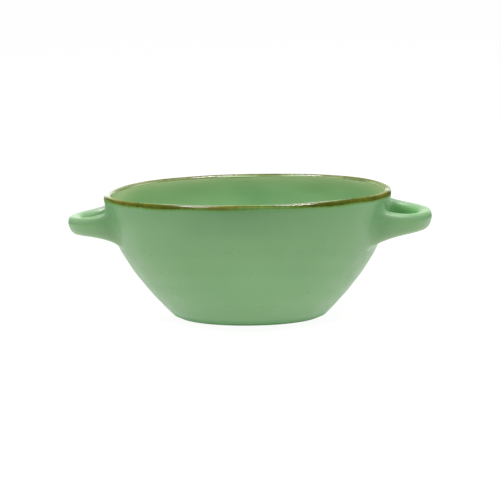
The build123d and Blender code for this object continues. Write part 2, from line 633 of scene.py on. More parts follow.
@dataclass(frozen=True)
class BrownCoat:
    """Brown oxide brushed over the lip, which feathers into the green as moss outside and ochre inside; the
    pale ochre on the crest partly paints a highlight.
    """

    olive: Colour = (0.103, 0.130, 0.017, 1.0)
    dark: Colour = (0.066, 0.080, 0.010, 1.0)
    tan: Colour = (0.150, 0.135, 0.028, 1.0)
    moss: Colour = (0.152, 0.285, 0.068, 1.0)
    ochre: Colour = (0.228, 0.272, 0.132, 1.0)
    green: GreenGlaze = GreenGlaze()
    clouds: Mottle = Mottle(130.0, 3.0, 0.35, 0.65)
    ragged_scale: float = 600.0
    ragged_detail: float = 3.0
    ragged_stretch: Triple = (1.0, 1.0, 0.5)
    raggedness: float = 0.5
    wash_span: Span = (0.10, 0.40)
    brown_span: Span = (0.45, 0.80)
    roughness: Mottle = Mottle(220.0, 3.0, 0.3, 0.7, 0.08, 0.14)
    brushing: Relief = Relief(260.0, 2.0, 0.00012)
    full_gloss: float = 0.6

    def material(self) -> Material:
        """Builds the coat.

        Returns:
            The material, which reads the brown, tan and gloss masks, and those of glaze that pools with
            painted shade and of thin glaze with painted light.
        """
        bench = Bench("brown_coat")
        brown = bench.blend(bench.mottle(self.clouds), self.dark, self.olive)
        brown = bench.blend(bench.mask(Mask.TAN), brown, self.tan)
        noise = bench.noise(self.ragged_scale, self.ragged_detail, self.ragged_stretch)
        ragged = bench.reckon(bench.reckon(noise, NOISE_MEAN, "SUBTRACT"), self.raggedness, "MULTIPLY")
        cover = bench.reckon(bench.mask(Mask.BROWN), ragged, "ADD")
        # The ochre wash on the crest and inner side partly paints a highlight.
        wash = bench.blend(bench.mask(Mask.THIN_AND_LIT), self.moss, self.ochre)
        wash = bench.blend(bench.spread(cover, *self.wash_span), self.green.colour(bench), wash)
        colour = bench.blend(bench.spread(cover, *self.brown_span), wash, brown)
        rough = bench.mottle(self.roughness)
        gloss = bench.spread(bench.mask(Mask.GLOSS), 0.0, 1.0, end=self.full_gloss)
        bench.relief(self.brushing)
        sockets = {"Base Color": colour, "Roughness": rough, "IOR": GLAZE_IOR, "Specular IOR Level": gloss}
        return bench.dress(sockets)


@dataclass(frozen=True)
class BareClay:
    """Unglazed buff stoneware with fine grog."""

    buff: Colour = (0.56, 0.46, 0.34, 1.0)
    sand: Colour = (0.46, 0.36, 0.25, 1.0)
    grog: Colour = (0.22, 0.15, 0.09, 1.0)
    green: GreenGlaze = GreenGlaze()
    clouds: Mottle = Mottle(160.0, 4.0, 0.35, 0.65)
    grains: Mottle = Mottle(1800.0, 2.0, 0.66, 0.74, end=0.7)
    grit: Relief = Relief(1800.0, 2.0, 0.0001)
    bare_roughness: float = 0.85
    glazed_roughness: float = 0.30

    def material(self) -> Material:
        """Builds the clay, with the glaze that runs down on its flank.

        Returns:
            The material, which reads the glazed mask.
        """
        bench = Bench("bare_clay")
        glazed = bench.mask(Mask.GLAZED)
        colour = bench.blend(bench.mottle(self.clouds), self.buff, self.sand)
        colour = bench.blend(bench.mottle(self.grains), colour, self.grog)
        # The glazed flank takes the dark green of glaze that pools, which also paints the contact shade at the
        # foot.
        colour = bench.blend(glazed, colour, self.green.pooled_and_shaded)
        rough = bench.spread(glazed, 0.0, 1.0, self.bare_roughness, self.glazed_roughness)
        bench.relief(self.grit)
        return bench.dress({"Base Color": colour, "Roughness": rough})


def join_frame(piece: Piece, node: Node, material: Material) -> Piece:
    """Dresses a piece and ties it to the frame.

    Args:
        piece: The finished piece.
        node: The solid that it stands for.
        material: The finish.

    Returns:
        The same piece.
    """
    piece.data.materials.append(material)
    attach(piece, "root")
    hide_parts(node.value)
    return piece


@dataclass(frozen=True)
class RimLine:
    """Where the brown coat ends, outside and inside, and how thick it lies."""

    form: BowlForm
    depth_outside: float = 0.0033
    depth_inside: float = 0.0017
    brush_waver: float = 0.0003
    brushed_outside: Ripple = Ripple((4, 7, 11, 19), 3)
    brushed_inside: Ripple = Ripple((5, 9, 15), 8)
    coat: float = 0.0005
    overlap: float = 0.0007
    runs: tuple[Waver, ...] = (
        Waver(-90.0, 13.0, 0.0008),
        Waver(-48.0, 11.0, 0.0006),
        Waver(-134.0, 14.0, 0.0004),
        Waver(68.0, 16.0, 0.0006),
        Waver(122.0, 13.0, 0.0005),
    )

    def edge_outside(self, angle: Grid) -> Grid:
        """Height of the coat's brushed lower edge on the outside, where it has run down as a thin wash."""
        edge = self.form.lip(angle) - self.depth_outside - self.brush_waver * self.brushed_outside.at(angle)
        return edge - total(self.runs, angle)

    def edge_inside(self, angle: Grid) -> Grid:
        """Height of the coat's brushed lower edge on the inside."""
        return self.form.lip(angle) - self.depth_inside - self.brush_waver * self.brushed_inside.at(angle)


@dataclass
class Bowl:
    """The glazed bowl: wall, floor, heel and the clay lip that the brown coat covers."""

    form: BowlForm
    line: RimLine
    glaze: Material
    roots: Grid
    heel_radius: float = 0.0025
    floor_radius: float = 0.012
    recess_radius: float = 0.0313
    recess_level: float = 0.0022
    recess_edge: float = 0.0004
    recess_middle: float = 0.003
    # Painted shade with glaze that pools next to the upper part of the lugs' roots.
    root_pool_shade: float = 0.60
    root_pool_shade_reach: float = 0.0030
    root_pool_shade_rise: Span = (0.048, 0.058)
    # Painted contact shade on the heel: strength and the height over which it fades.
    heel_contact_shades: tuple[Span, ...] = ((0.70, 0.0030), (0.25, 0.010))
    # Painted shade on the wall just under the coat's edge, stronger on the left.
    under_rim_shade: float = 0.24
    under_rim_shade_rise: Span = (-0.013, -0.001)
    under_rim_shade_left: Waver = Waver(-152.0, 20.0, 0.5)
    # Painted shade inside: over the wall below the lip, with a darker spot and upright bands of painted shade
    # on the back wall.
    inner_shade: float = 0.11
    inner_shade_spot: Waver = Waver(74.0, 9.0, 0.55)
    inner_shade_end: Span = (0.052, 0.063)
    shade_streaks: tuple[Waver, ...] = (Waver(92.0, 8.0, 0.52), Waver(90.0, 5.0, 0.26))
    shade_streak_end: Span = (0.059, 0.066)
    floor_pool: float = 0.2
    # Thin glaze with painted light inside: a little over the whole wall, more just below the lip, and a
    # painted reflection at the rim's two ends.
    wall_thin_and_light: float = 0.12
    lip_thin_and_light: float = 1.3
    lip_thin_and_light_reach: float = 0.0022
    end_reflection: tuple[Waver, ...] = (Waver(0.0, 14.0, 1.0), Waver(180.0, 14.0, 0.75))
    end_reflection_depth: Span = (0.004, 0.012)
    steps_round: int = 288
    steps_recess: int = 7
    steps_foot: int = 6
    steps_heel: int = 9
    steps_outside: int = 84
    steps_inside: int = 60
    steps_corner: int = 15
    steps_floor: int = 8
    skin: Skin = field(default_factory=Skin)

    def __post_init__(self) -> None:
        """Takes the directions round the bowl."""
        self.angle = full_turn(self.steps_round)

    def lay(self, radius: Value, level: Value, masks: Masks) -> None:
        """Lays one ring of the bowl's skin."""
        self.skin.add(turned(self.angle, radius, level), masks)

    def pool_shade(self, ring: Grid) -> Grid:
        """How much glaze pools and shade is painted next to the upper part of the lugs' roots, from 0 to 1."""
        apart = np.linalg.norm(ring[:, None, :] - self.roots[None, :, :], axis=2).min(axis=1)
        return self.root_pool_shade * np.exp(-apart / self.root_pool_shade_reach) * ease(*self.root_pool_shade_rise, ring[:, 2])

    def heel_contact_shade(self, level: Value) -> Grid:
        """Painted contact shade at the heel, strongest at the ground, from 0 to 1."""
        low = self.form.underside
        return sum(amount * (1 - ease(low, low + rise, level)) for amount, rise in self.heel_contact_shades)

    def pale_and_lit_lip(self, depth: Grid) -> Grid:
        """Finds how much the glaze thins and light is painted below the lip inside, reaching deepest at the
        rim's two ends as a painted reflection.

        Args:
            depth: Distance below the coat's inner edge.

        Returns:
            The thinness and painted light at each place, from 0 to 1.
        """
        below = self.lip_thin_and_light * np.exp(-depth / self.lip_thin_and_light_reach)
        ends = total(self.end_reflection, self.angle) * (1 - ease(*self.end_reflection_depth, depth))
        return np.clip(self.wall_thin_and_light + below + ends, 0.0, 1.0)

    def underside(self, heel: Corner) -> None:
        """Lays the recess under the floor and the rounded heel.

        Args:
            heel: The heel's rounding.
        """
        flat = self.recess_radius - self.recess_edge
        for radius in np.linspace(self.recess_middle, flat, self.steps_recess):
            self.lay(radius, self.recess_level, PLAIN)
        for share in (0.5, 1.0):
            self.lay(self.recess_radius, self.recess_level - share * self.recess_edge, PLAIN)
        for radius in np.linspace(self.recess_radius, heel.centre_radius, self.steps_foot):
            self.lay(radius, self.form.underside, PLAIN)
        for direction in np.linspace(-pi / 2, heel.wall_direction, self.steps_heel)[1:-1]:
            radius, level = heel.point(direction)
            # Painted contact shade on the heel.
            masks = PLAIN | {Mask.POOL_AND_SHADE: self.heel_contact_shade(level)}
            self.lay(radius + self.form.uneven(self.angle, level), level, masks)

    def outside(self, heel: Corner) -> None:
        """Lays the outer wall up to just under the coat's edge.

        Args:
            heel: The heel's rounding, from which the wall rises.
        """
        top = self.line.edge_outside(self.angle) + self.line.overlap
        left = 1 + self.under_rim_shade_left.at(self.angle)
        for share in np.linspace(0.0, 1.0, self.steps_outside):
            level = heel.wall_level + share * (top - heel.wall_level)
            ring = turned(self.angle, self.form.outside(self.angle, level), level)
            # Painted shade near the lug roots, on the heel and under the coat's edge.
            below_band = self.under_rim_shade * ease(*self.under_rim_shade_rise, level - top) * left
            pool_shade = np.maximum(self.pool_shade(ring), self.heel_contact_shade(level)) + below_band
            self.skin.add(ring, PLAIN | {Mask.POOL_AND_SHADE: pool_shade})

    def clay_lip(self) -> None:
        """Lays the lip that is under the coat."""
        lip = self.form.lip(self.angle)
        low_outside = self.line.edge_outside(self.angle) + self.line.overlap
        low_inside = self.line.edge_inside(self.angle) + self.line.overlap
        outer = self.form.outside(self.angle, low_outside) - self.line.coat
        inner = self.form.inside(self.angle, low_inside) + self.line.coat
        shoulder = self.form.lip_radius - self.line.coat
        self.lay(outer, low_outside, PLAIN)
        self.lay(outer, lip - self.form.lip_radius, PLAIN)
        self.lay(outer - shoulder, lip - self.line.coat, PLAIN)
        self.lay(inner + shoulder, lip - self.line.coat, PLAIN)
        self.lay(inner, lip - self.form.lip_radius, PLAIN)
        self.lay(inner, low_inside, PLAIN)

    def inside(self, floor: Corner) -> None:
        """Lays the inner wall, the rounding below it and the floor.

        Args:
            floor: The rounding between the floor and the wall.
        """
        top = self.line.edge_inside(self.angle) + self.line.overlap
        # Painted shade inside, fading out near the lip, and painted light below the lip.
        low_shade = self.inner_shade + self.inner_shade_spot.at(self.angle)
        shade_streak = total(self.shade_streaks, self.angle)
        for share in np.linspace(1.0, 0.0, self.steps_inside):
            level = floor.wall_level + share * (top - floor.wall_level)
            pool_shade = low_shade * (1 - ease(*self.inner_shade_end, level))
            pool_shade = pool_shade + shade_streak * (1 - ease(*self.shade_streak_end, level))
            masks = {Mask.POOL_AND_SHADE: pool_shade, Mask.THIN_AND_LIT: self.pale_and_lit_lip(top - level)}
            self.lay(self.form.inside(self.angle, level), level, masks)
        pooled_and_shaded = PLAIN | {Mask.POOL_AND_SHADE: self.floor_pool}
        for direction in np.linspace(floor.wall_direction, -pi / 2, self.steps_corner)[1:]:
            radius, level = floor.point(direction)
            self.lay(radius + self.form.uneven(self.angle, level), level, pooled_and_shaded)
        for radius in np.linspace(floor.centre_radius, 0.0, self.steps_floor)[1:-1]:
            self.lay(radius, self.form.floor, pooled_and_shaded)

    def build(self) -> Piece:
        """Builds the bowl.

        Returns:
            The dressed piece.
        """
        heel = self.form.corner(self.form.underside, 0.0, self.heel_radius)
        self.underside(heel)
        self.outside(heel)
        self.clay_lip()
        self.inside(self.form.corner(self.form.floor, self.form.wall, self.floor_radius))
        return join_frame(self.skin.piece("glazed_bowl", False), Node.BOWL_BODY, self.glaze)


@dataclass
class RimBand:
    """The brown coat over the lip, a thin cap with brushed edges."""

    form: BowlForm
    line: RimLine
    finish: Material
    proud: float = 0.00005
    proud_rise: float = 0.0006
    sunk: float = 0.00004
    sunk_rise: float = 0.0003
    fade_outside: float = 0.0019
    wash_cover: float = 0.42
    wash_rise: Span = (0.0002, 0.0007)
    brown_rise: Span = (0.0009, 0.0015)
    crest_cover: float = 0.75
    crest_waver: float = 0.12
    crest_ripple: Ripple = Ripple((2, 3, 5), 31)
    crest_hold: float = 0.80
    crest_turn: Span = (0.6, 1.2)
    inward_turn: Span = (0.2, 0.7)
    steps_round: int = 432
    steps_side: int = 12
    steps_inside: int = 4
    mossy: Waver = Waver(-86.0, 11.0, 0.95)
    # Less brown on the crest: at the rim's two ends this leaves it pale, which paints its highlight there;
    # elsewhere it is wear.
    crest_wear_and_highlight: tuple[Waver, ...] = (
        Waver(0.0, 20.0, 0.42),
        Waver(180.0, 20.0, 0.42),
        Waver(-122.0, 11.0, 0.30),
        Waver(-57.0, 7.0, 0.20),
    )
    worn: tuple[Waver, ...] = (
        Waver(-83.0, 9.0, 0.60),
        Waver(-107.0, 6.0, 0.40),
        Waver(-68.0, 6.0, 0.25),
        Waver(-164.0, 10.0, 0.50),
        Waver(20.0, 9.0, 0.30),
        Waver(150.0, 7.0, 0.25),
    )
    glossy: tuple[Waver, ...] = (
        Waver(-106.0, 6.0, 0.95),
        Waver(-65.0, 8.0, 0.95),
        Waver(67.0, 8.0, 0.95),
        Waver(108.0, 11.0, 0.95),
        Waver(177.0, 8.0, 0.90),
        Waver(-2.0, 3.0, 0.15),
    )
    tanned: tuple[Waver, ...] = (
        Waver(-96.0, 8.0, 0.9),
        Waver(-150.0, 8.0, 0.5),
        Waver(-15.0, 8.0, 0.5),
        Waver(52.0, 12.0, 0.5),
        Waver(118.0, 10.0, 0.7),
    )
    skin: Skin = field(default_factory=Skin)

    def __post_init__(self) -> None:
        """Takes the directions round the rim, and finds the lip, the coat's edges and its cover there."""
        self.angle = full_turn(self.steps_round)
        self.lip = self.form.lip(self.angle)
        self.shoulder = self.lip - self.form.lip_radius
        self.low_outside = self.line.edge_outside(self.angle)
        self.low_inside = self.line.edge_inside(self.angle)
        self.crest_outside = self.form.outside(self.angle, self.shoulder) + self.proud - self.form.lip_radius
        self.crest_inside = self.form.inside(self.angle, self.shoulder) - self.proud + self.form.lip_radius
        cover = self.crest_cover + self.crest_waver * self.crest_ripple.at(self.angle)
        self.crest = cover - total(self.crest_wear_and_highlight, self.angle)

    def lay(self, radius: Grid, level: Grid, brown: Value, inward: float) -> None:
        """Lays one ring of the coat, which is dull outside and shines on the crest and inward of it.

        Args:
            radius: Distance from the bowl's axis.
            level: Height above the ground.
            brown: How much brown there is before wear.
            inward: 0 on the outer side, and 1 on the crest and inward of it.
        """
        masks = {
            Mask.BROWN: brown - total(self.worn, self.angle) * (1 - self.crest_hold * inward),
            Mask.TAN: total(self.tanned, self.angle),
            Mask.POOL_AND_SHADE: 0.0,
            # On the crest and inner side the thin-glaze mask picks the ochre wash, which partly paints a
            # highlight.
            Mask.THIN_AND_LIT: inward * (1 - self.mossy.at(self.angle)),
            Mask.GLOSS: inward * total(self.glossy, self.angle),
        }
        self.skin.add(turned(self.angle, radius, level), masks)

    def inner_cover(self, level: Grid) -> Grid:
        """Finds how much brown lies on the inner side, where a pale wash runs down below it.

        Args:
            level: Height above the ground.

        Returns:
            The cover in each direction.
        """
        rise = level - self.low_inside
        wash = self.wash_cover * ease(*self.wash_rise, rise)
        return wash + (self.crest - self.wash_cover) * ease(*self.brown_rise, rise)

    def outer_side(self) -> None:
        """Lays the outer side, from the feathered lower edge up to the lip's shoulder."""
        fade = self.fade_outside + total(self.line.runs, self.angle)
        for share in np.linspace(0.0, 1.0, self.steps_side):
            level = self.low_outside + share * (self.shoulder - self.low_outside)
            rise = level - self.low_outside
            over = self.proud * ease(0.0, self.proud_rise, rise)
            over = over - self.sunk * (1 - ease(0.0, self.sunk_rise, rise))
            self.lay(self.form.outside(self.angle, level) + over, level, ease(0.0, fade, rise), 0.0)

    def over_lip(self) -> None:
        """Lays the rounded crest, from the outer shoulder to the inner one."""
        round_lip = self.form.lip_radius
        for turn in np.linspace(0.0, pi / 2, self.steps_side)[1:]:
            brown = 1.0 + (self.crest - 1.0) * ease(*self.crest_turn, turn)
            inward = float(ease(*self.inward_turn, turn))
            level = self.shoulder + round_lip * sin(turn)
            self.lay(self.crest_outside + round_lip * cos(turn), level, brown, inward)
        for turn in np.linspace(pi / 2, pi, self.steps_side)[:-1]:
            level = self.shoulder + round_lip * sin(turn)
            self.lay(self.crest_inside + round_lip * cos(turn), level, self.inner_cover(level), 1.0)

    def inner_side(self) -> None:
        """Lays the inner side, from the shoulder down to the coat's lower edge."""
        for share in np.linspace(1.0, 0.0, self.steps_inside):
            level = self.low_inside + share * (self.shoulder - self.low_inside)
            over = self.proud * share - self.sunk * (1 - share)
            self.lay(self.form.inside(self.angle, level) - over, level, self.inner_cover(level), 1.0)

    def against_clay(self) -> None:
        """Lays the hidden side that lies on the clay lip, from inside to outside."""
        coat = self.line.coat
        inner, outer = self.crest_inside - self.form.lip_radius, self.crest_outside + self.form.lip_radius
        for radius, level in (
            (self.form.inside(self.angle, self.low_inside) + coat, self.low_inside + coat),
            (inner + coat, self.shoulder),
            (self.crest_inside, self.lip - coat),
            (self.crest_outside, self.lip - coat),
            (outer - coat, self.shoulder),
            (self.form.outside(self.angle, self.low_outside) - coat, self.low_outside + coat),
        ):
            self.lay(radius, level, 0.0, 0.0)

    def build(self) -> Piece:
        """Builds the band.

        Returns:
            The dressed piece.
        """
        self.outer_side()
        self.over_lip()
        self.inner_side()
        self.against_clay()
        return join_frame(self.skin.piece("brushed_rim", True), Node.RIM_BAND, self.finish)


def at_tip(turn: Grid, sharpness: int) -> Grid:
    """Gives 1 at a loop's tip and falls to 0 a quarter turn from it, the sooner the sharper."""
    return np.maximum(np.cos(turn), 0.0) ** sharpness


@dataclass
class Lug:
    """A loop of clay strap, luted to the wall with a smoothed root at each end.

    Places round the strap's section are given by their middle and breadth in degrees, from 0 on the outer
    face over the top. Turns along the strap are counted from the tip.
    """

    form: BowlForm
    side: Side
    glaze: Material
    reach: float = 0.0196
    width: float = 0.0550
    drop: float = 0.0162
    thickness: float = 0.0067
    tip_height: float = 0.0100
    root_height: float = 0.0195
    root_thickness: float = 0.0090
    lean: float = 17.0
    twist: float = 2.1
    flare: float = 4.5
    droop: float = 0.0
    root_turn: float = 95.0
    squareness_above: float = 2.4
    squareness_below: float = 2.5
    kneading: float = 0.02
    root_fillet: float = 0.0034
    root_spread: float = 1.06
    root_sunk: float = 0.00015
    root_end: Span = (0.0008, 0.0012)
    landing_turns: Span = (40.0, 125.0)
    crease: Waver = Waver(24.0, 9.0, 0.0003)
    crease_climb: float = 15.0
    tip_fill: float = 0.30
    lifts: tuple[Waver, ...] = (Waver(-13.0, 27.0, -0.0009), Waver(-80.0, 16.0, 0.0008))
    lift_place: Span = (132.0, 26.0)
    # Painted sheen over the strap's upper edges, and painted floor light on its underside and lower outer
    # face, stronger near the roots.
    inner_sheen: Waver = Waver(120.0, 24.0, 0.38)
    outer_sheen: Waver = Waver(46.0, 14.0, 0.16)
    under_sheen: Span = (0.12, 0.10)
    under_edge: Span = (-75.0, 30.0)
    under_floor_light: Span = (0.32, 0.20)
    under_face: Span = (-68.0, 32.0)
    # Painted shade inside the loop.
    loop_shade: Waver = Waver(186.0, 30.0, 0.60)
    # Painted shade with glaze that pools at the roots, weighted to the upper part, and painted shade in the
    # crease below the top edge and over the upper edge.
    upper_balance: Span = (0.30, 0.70)
    root_pool_shade: float = 0.50
    root_pool_shade_reach: float = 0.0025
    root_reach: float = 0.005
    hidden_pool: float = 0.35
    crease_shade: Span = (0.35, 0.60)
    crease_shade_place: Span = (20.0, 10.0)
    edge_shade: float = 0.18
    edge_shade_place: Span = (66.0, 16.0)
    # Less painted sheen towards the tip.
    tip_clear: float = 0.7
    steps_across: int = 120
    steps_along: int = 96
    steps_root: int = 13
    steps_landing: int = 300
    skin: Skin = field(default_factory=Skin)
    roots: list[Grid] = field(default_factory=list)

    def to_bowl(self, across: Grid, beside: Grid, up: Grid, origin: bool) -> Grid:
        """Turns places or directions in the loop's own frame into the bowl's.

        Args:
            across: Share along the line from the bowl's axis to the tip.
            beside: Share along the loop's width.
            up: Share square to the loop.
            origin: Whether these are places, and not directions.

        Returns:
            The same in the bowl's frame, with x, y and z on the last axis.
        """
        twist, tilt, droop = radians(self.twist), radians(self.form.tilt), radians(self.droop)
        sign = self.side.value
        level = self.form.height - self.drop if origin else 0.0
        pivot = self.form.rim_radius if origin else 0.0
        sideways = beside * cos(twist) - up * sin(twist)
        upward = beside * sin(twist) + up * cos(twist)
        beyond = across - pivot
        outward = pivot + beyond * cos(droop) + upward * sin(droop)
        lowered = upward * cos(droop) - beyond * sin(droop)
        x = sign * outward * cos(tilt) - lowered * sin(tilt)
        z = sign * outward * sin(tilt) + lowered * cos(tilt) + level
        return np.stack((x, sign * sideways, z), axis=-1)

    def upper_part(self, around: Grid) -> Grid:
        """How much a place round the section belongs to its upper part, from 0 to 1."""
        level, rise = self.upper_balance
        return np.maximum(level + rise * np.sin(around), 0.0)

    def along_crease(self, turn: Grid, around: Grid) -> Grid:
        """Counts the angles round the section so that the crease climbs towards the tip."""
        return around - radians(self.crease_climb) * at_tip(turn, 2)

    def strap(self, turn: Grid, around: Grid) -> tuple[Grid, Grid]:
        """Finds the strap's skin.

        Args:
            turn: Angle from the tip round the loop, in radians.
            around: Angle round the strap's section, from 0 on the outer face over the top.

        Returns:
            The points, and the directions that the skin faces there.
        """
        half_width = (self.width - self.thickness) / 2
        level = np.array(self.form.height - self.drop)
        centre = sqrt(float(self.form.mean_radius(level, 0.0)) ** 2 - half_width**2)
        half_length = self.form.rim_radius + self.reach - self.thickness / 2 - self.form.shrink - centre
        flare = np.minimum(np.abs(turn) / radians(self.root_turn), 1.0) ** self.flare
        pinch = self.kneading * (1 - np.cos(3 * turn))
        press = self.kneading * (1 + np.sin(2 * turn * self.side.value)) / 2
        thick = (self.thickness + (self.root_thickness - self.thickness) * flare) * (1 - pinch - press) / 2
        tall = (self.tip_height + (self.root_height - self.tip_height) * flare) / 2
        ahead, aside = np.cos(around), np.sin(around)
        power = 2 / np.where(aside > 0, self.squareness_above, self.squareness_below)
        out = thick * np.sign(ahead) * np.abs(ahead) ** power
        out = out * np.where(ahead < 0, 1 + self.tip_fill * at_tip(turn, 2), 1.0)
        out = out - self.crease.at(self.along_crease(turn, around))
        rise = tall * np.sign(aside) * np.abs(aside) ** power
        rise = rise + total(self.lifts, turn) * bump(around, *self.lift_place)
        face_out = np.sign(ahead) * np.abs(ahead) ** (2 - power) / thick
        face_up = np.sign(aside) * np.abs(aside) ** (2 - power) / tall
        length = np.hypot(face_out, face_up)
        lean = radians(self.lean) * np.cos(turn)
        facing = np.arctan2(half_length * np.sin(turn), half_width * np.cos(turn))

        def leant(outward: Grid, upward: Grid) -> tuple[Grid, Grid]:
            """Leans a section's place or direction outwards at its top."""
            along = outward * np.cos(lean) + upward * np.sin(lean)
            return along, upward * np.cos(lean) - outward * np.sin(lean)

        out, rise = leant(out, rise)
        face_out, face_up = leant(face_out / length, face_up / length)
        across = centre + half_length * np.cos(turn) + out * np.cos(facing)
        beside = half_width * np.sin(turn) + out * np.sin(facing)
        points = self.to_bowl(across, beside, rise, True)
        normals = self.to_bowl(face_out * np.cos(facing), face_out * np.sin(facing), face_up, False)
        return points, normals

    def landing(self, around: Grid, end: int) -> Callable[[float], Grid]:
        """Traces where each line along the strap comes near the wall.

        Args:
            around: Angles round the strap's section.
            end: 1 or -1, for the end of the loop.

        Returns:
            A function that takes a distance from the wall and gives each line's turn there.
        """
        first, last = self.landing_turns
        turns = np.linspace(radians(first), radians(last), self.steps_landing)
        points, _ = self.strap(end * turns[:, None], around[None, :])
        gaps = np.minimum.accumulate(self.form.gap(points), axis=0)

        def turn_at(distance: float) -> Grid:
            """Turn at which each line is at the distance from the wall."""
            return np.array([np.interp(-distance, -line, turns) for line in gaps.T])

        return turn_at

    def edges(self, around: Grid, sheen: Value, near: Value) -> Masks:
        """Finds the painted sheen over the strap's edges, the painted floor light below and the painted shade
        inside the loop.

        Args:
            around: Angles round the strap's section.
            sheen: How strong the painted sheen is over the upper edges, from 0 to 1.
            near: How near the root is, from 0 to 1.

        Returns:
            The painted sheen, the painted floor light and the painted loop shade mask.
        """
        far_sheen, more_near = self.under_sheen
        far_floor_light, less_near = self.under_floor_light
        painted_sheen = sheen * (self.inner_sheen.at(around) + self.outer_sheen.at(around))
        painted_sheen = painted_sheen + (far_sheen + more_near * near) * bump(around, *self.under_edge)
        # Painted floor light, carried on the thin-glaze mask.
        thin = (far_floor_light - less_near * near) * bump(around, *self.under_face)
        return {Mask.PAINTED_SHEEN: painted_sheen, Mask.THIN_AND_LIT: thin, Mask.LOOP_SHADE: self.loop_shade.at(around)}

    def root(self, around: Grid, end: int) -> list[tuple[Grid, Masks]]:
        """Lays the smoothed root at one end of the strap.

        Args:
            around: Angles round the strap's section.
            end: 1 or -1, for the end of the loop.

        Returns:
            The rings from the strap into the wall, each with its masks.
        """
        turn_at = self.landing(around, end)
        radius = self.root_fillet
        rings = []
        for step in np.linspace(0.0, pi / 2, self.steps_root):
            distance = radius * (1 - sin(step))
            ring = self.pushed(end * turn_at(distance), around, radius * (1 - cos(step)), distance)
            # Painted shade on the root's upper part, with glaze that pools there.
            pool_shade = self.upper_part(around) * (self.root_pool_shade + self.root_pool_shade * sin(2 * step))
            rings.append((ring, {Mask.POOL_AND_SHADE: pool_shade} | self.edges(around, 1 - step / (pi / 2), 1.0)))
        self.roots.append(rings[-1][0])
        hidden = {Mask.POOL_AND_SHADE: self.hidden_pool} | self.edges(around, 0.0, 1.0)
        under, end_depth = self.root_end
        tucked = self.pushed(end * turn_at(0.0), around, radius * self.root_spread, -self.root_sunk)
        closed = self.pushed(end * turn_at(-under), around, 0.0, -end_depth)
        return [*rings, (tucked, hidden), (closed, hidden)]

    def pushed(self, turn: Grid, around: Grid, outward: float, distance: float) -> Grid:
        """Gives a ring of the strap that is spread along the wall and set at a distance from it.

        Args:
            turn: Turn of each line.
            around: Angles round the strap's section.
            outward: How far the ring is spread from the strap along the wall.
            distance: Distance from the wall.

        Returns:
            The ring's points.
        """
        points, normals = self.strap(turn, around)
        facing = self.form.facing(points)
        along = normals - (normals * facing).sum(axis=1, keepdims=True) * facing
        along /= np.linalg.norm(along, axis=1, keepdims=True)
        points = points + outward * along
        return points + (distance - self.form.gap(points))[:, None] * self.form.facing(points)

    def build(self) -> Piece:
        """Builds the lug.

        Returns:
            The dressed piece.
        """
        around = full_turn(self.steps_across)
        near, far = self.root(around, -1), self.root(around, 1)
        start = -self.landing(around, -1)(self.root_fillet)
        stop = self.landing(around, 1)(self.root_fillet)
        in_crease, more_at_tip = self.crease_shade
        for ring, masks in reversed(near):
            self.skin.add(ring, masks)
        for share in np.linspace(0.0, 1.0, self.steps_along)[1:-1]:
            turn = start + share * (stop - start)
            ring, _ = self.strap(turn, around)
            apart = np.maximum(self.form.gap(ring) - self.root_fillet, 0.0)
            tip = at_tip(turn, 5)
            crease = bump(self.along_crease(turn, around), *self.crease_shade_place)
            # Painted shade near the roots, in the crease, deeper towards the tip, and over the upper edge.
            pool_shade = self.root_pool_shade * np.exp(-apart / self.root_pool_shade_reach) * self.upper_part(around)
            pool_shade += (in_crease + more_at_tip * tip) * crease
            pool_shade += self.edge_shade * (1 - tip) * bump(around, *self.edge_shade_place)
            edges = self.edges(around, 1 - self.tip_clear * tip, np.exp(-apart / self.root_reach))
            self.skin.add(ring, {Mask.POOL_AND_SHADE: pool_shade} | edges)
        for ring, masks in far:
            self.skin.add(ring, masks)
        node = Node.RIGHT_LUG if self.side is Side.RIGHT else Node.LEFT_LUG
        return join_frame(self.skin.piece(f"glazed_{node.value}", False), node, self.glaze)


@dataclass
class FootRing:
    """The bare ring of clay that the bowl stands on."""

    clay: Material
    outside: float = 0.0368
    inside: float = 0.0313
    height: float = 0.0010
    edge: float = 0.0004
    waver: float = 0.00012
    outer_ripple: Ripple = Ripple((3, 7, 12), 21)
    inner_ripple: Ripple = Ripple((4, 6, 11), 22)
    steps_round: int = 192
    steps_edge: int = 5

    def build(self) -> Piece:
        """Builds the ring.

        Returns:
            The dressed piece.
        """
        angle = full_turn(self.steps_round)
        outer = self.outside - self.waver * (1 + self.outer_ripple.at(angle))
        inner = self.inside + self.waver * (1 + self.inner_ripple.at(angle))
        skin = Skin()
        for turn in np.linspace(0.0, pi / 2, self.steps_edge):
            level = self.edge * (1 - cos(turn))
            skin.add(turned(angle, outer - self.edge * (1 - sin(turn)), level), {Mask.GLAZED: sin(turn)})
        skin.add(turned(angle, outer, self.height), {Mask.GLAZED: 1.0})
        skin.add(turned(angle, inner, self.height), {Mask.GLAZED: 0.0})
        for turn in np.linspace(pi / 2, 0.0, self.steps_edge):
            level = self.edge * (1 - cos(turn))
            skin.add(turned(angle, inner + self.edge * (1 - sin(turn)), level), {Mask.GLAZED: 0.0})
        return join_frame(skin.piece("bare_foot_ring", True), Node.FOOT_RING, self.clay)


@dataclass(frozen=True)
class Softbox:
    """A soft rectangular light that hangs above the bowl."""

    name: str
    toward: Triple
    distance: float
    width: float
    length: float
    watts: float

    def hang(self) -> None:
        """Puts the light in its place, turned towards the bowl."""
        light = bpy.data.lights.new(self.name, "AREA")
        light.shape = "RECTANGLE"
        light.size = self.width
        light.size_y = self.length
        light.energy = self.watts
        lamp = bpy.data.objects.new(self.name, light)
        way = Vector(self.toward).normalized()
        turn = way.to_track_quat("Z", "Y").to_matrix().to_4x4()
        lamp.matrix_world = Matrix.Translation(way * self.distance) @ turn
        bpy.context.scene.collection.objects.link(lamp)


